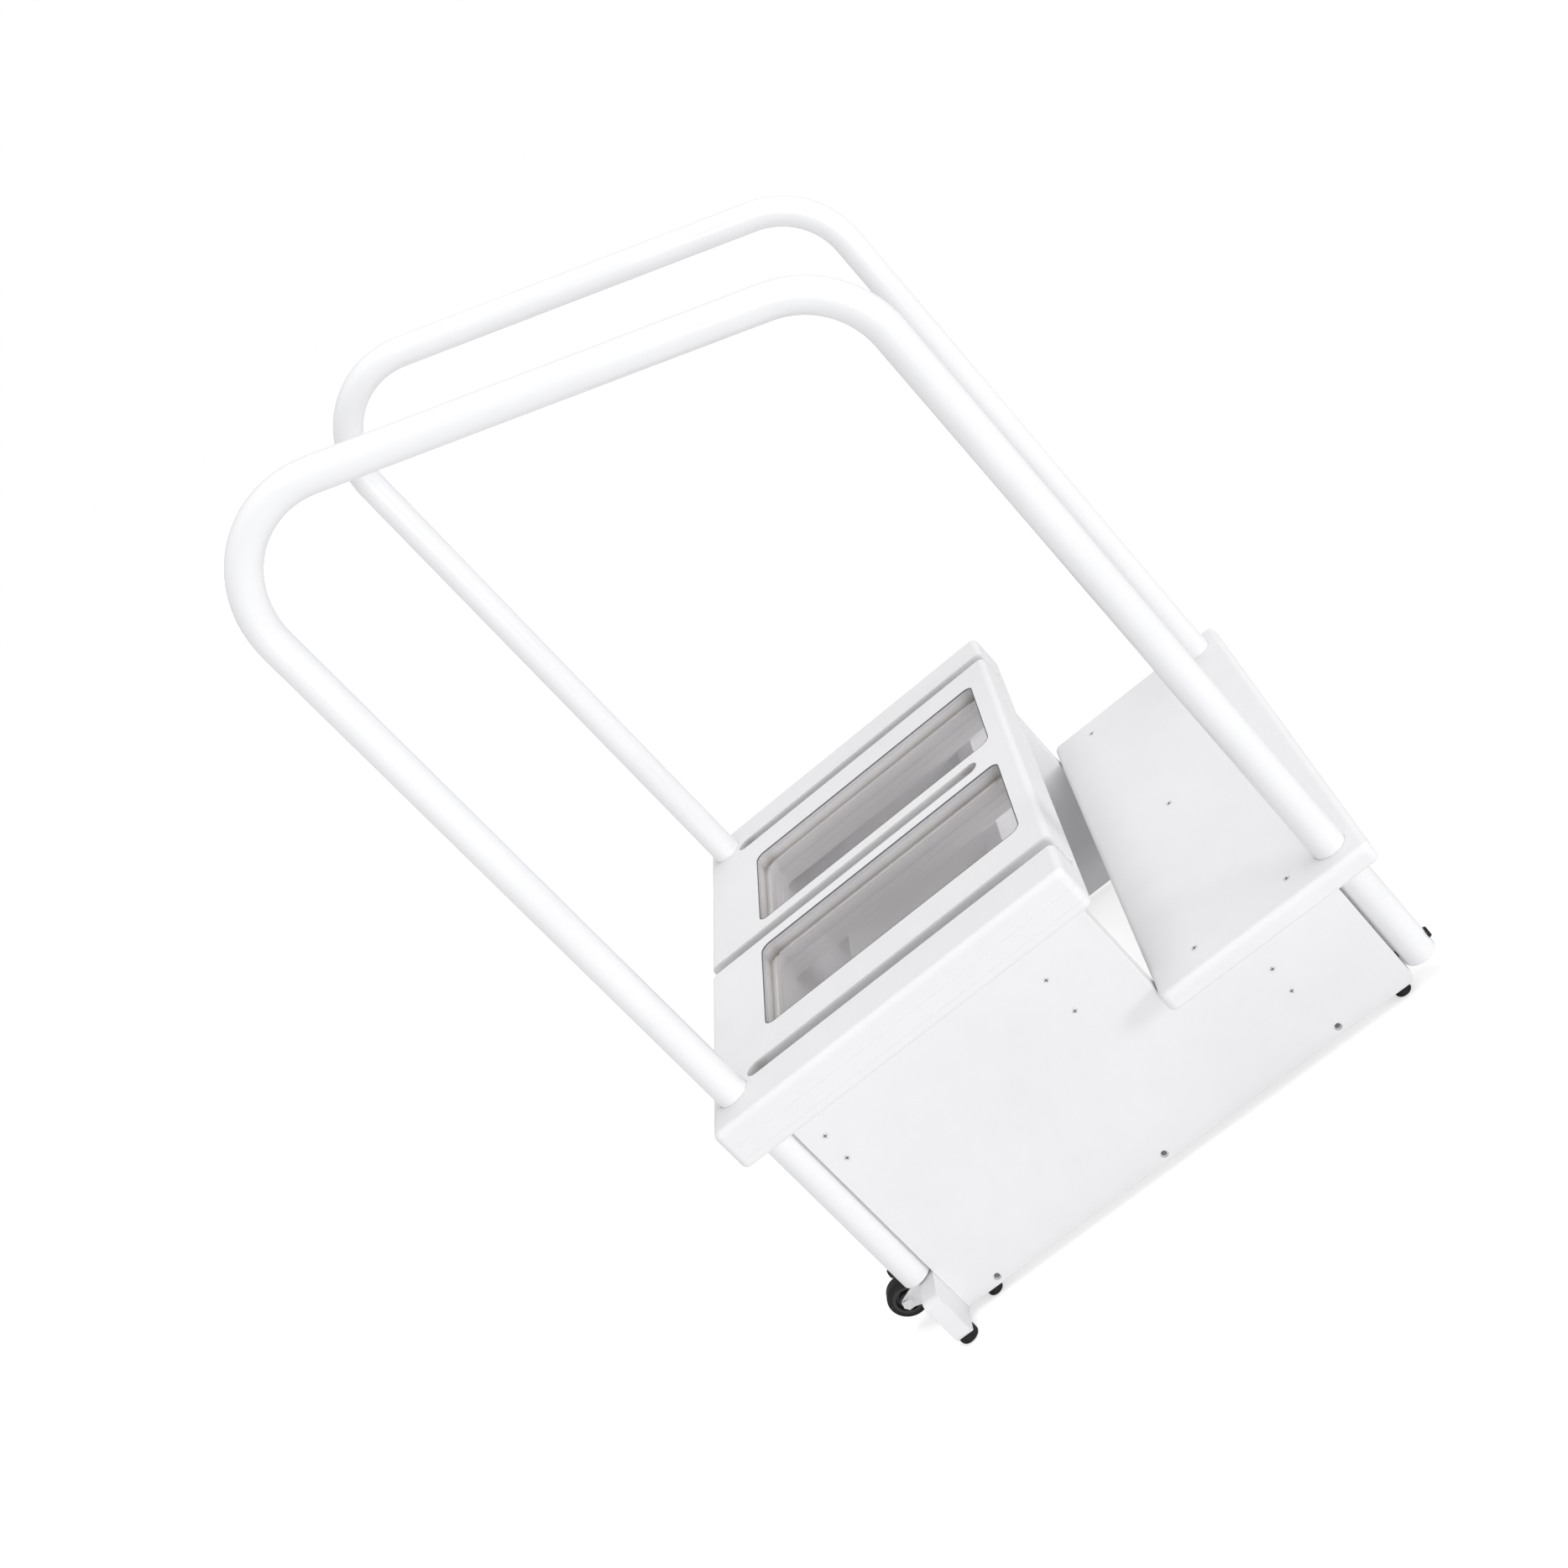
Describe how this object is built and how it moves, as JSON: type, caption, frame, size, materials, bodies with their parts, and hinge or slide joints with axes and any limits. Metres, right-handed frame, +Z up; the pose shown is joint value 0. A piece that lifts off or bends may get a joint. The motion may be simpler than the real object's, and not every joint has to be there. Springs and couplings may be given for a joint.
{
  "type": "mobile step platform",
  "caption": "White two-step standing platform with see-through deck windows, detector slots, bent-tube handrails and rear casters.",
  "frame": {"origin": "on the floor, at the middle of the platform's width and length", "axes": "+Z up, -Y towards the low front step, +Y towards the casters, +X to the right when seen from the front step"},
  "size_m": [0.762, 0.79, 1.2563],
  "materials": {
    "white_board": "satin white sheet",
    "white_tube": "glossy white powder coat",
    "clear_plate": "clear polished acrylic",
    "black_rubber": "matt black",
    "black_steel": "black oxide",
    "zinc_steel": "bright zinc",
    "brass": "plain",
    "black_plastic": "moulded black"
  },
  "bodies": {
    "frame": {"deck_top_board": "white_board", "deck_middle_board": "white_board", "deck_bottom_board": "white_board", "window_plate_left": "clear_plate", "window_plate_right": "clear_plate", "side_panel_left": "white_board", "side_panel_right": "white_board", "rear_cross_rail": "white_board", "front_cross_rail": "white_board", "tread_cross_rail": "white_board", "deck_cleat_left": "white_board", "deck_cleat_right": "white_board", "tread_board": "white_board", "handrail_left": "white_tube", "handrail_right": "white_tube", "tube_end_plugs": "white_tube", "handrail_bolts": "black_steel", "panel_screws_left": "zinc_steel", "panel_screws_right": "zinc_steel", "tread_screws": "zinc_steel", "rear_board_screws": "zinc_steel", "cleat_side_screws": "zinc_steel", "cleat_deck_screws": "zinc_steel", "panel_inserts": "zinc_steel", "panel_feet": "black_rubber", "rear_board_feet": "black_rubber", "foot_screws": "zinc_steel", "rear_foot_board": "white_board", "caster_fork_left": "zinc_steel", "caster_fork_right": "zinc_steel", "caster_axle_left": "zinc_steel", "caster_axle_right": "zinc_steel", "caster_sleeves": "brass", "caster_screws": "zinc_steel"},
    "wheel_left": {"wheel_hub_left": "black_plastic", "wheel_tyre_left": "black_rubber"},
    "wheel_right": {"wheel_hub_right": "black_plastic", "wheel_tyre_right": "black_rubber"}
  },
  "joints": [
    {"name": "wheel_left_spin", "type": "hinge", "parent": "frame", "child": "wheel_left", "pos_m": [-0.29, 0.3696, 0.045], "axis": [1, 0, 0], "continuous": true},
    {"name": "wheel_right_spin", "type": "hinge", "parent": "frame", "child": "wheel_right", "pos_m": [0.29, 0.3696, 0.045], "axis": [1, 0, 0], "continuous": true}
  ]
}
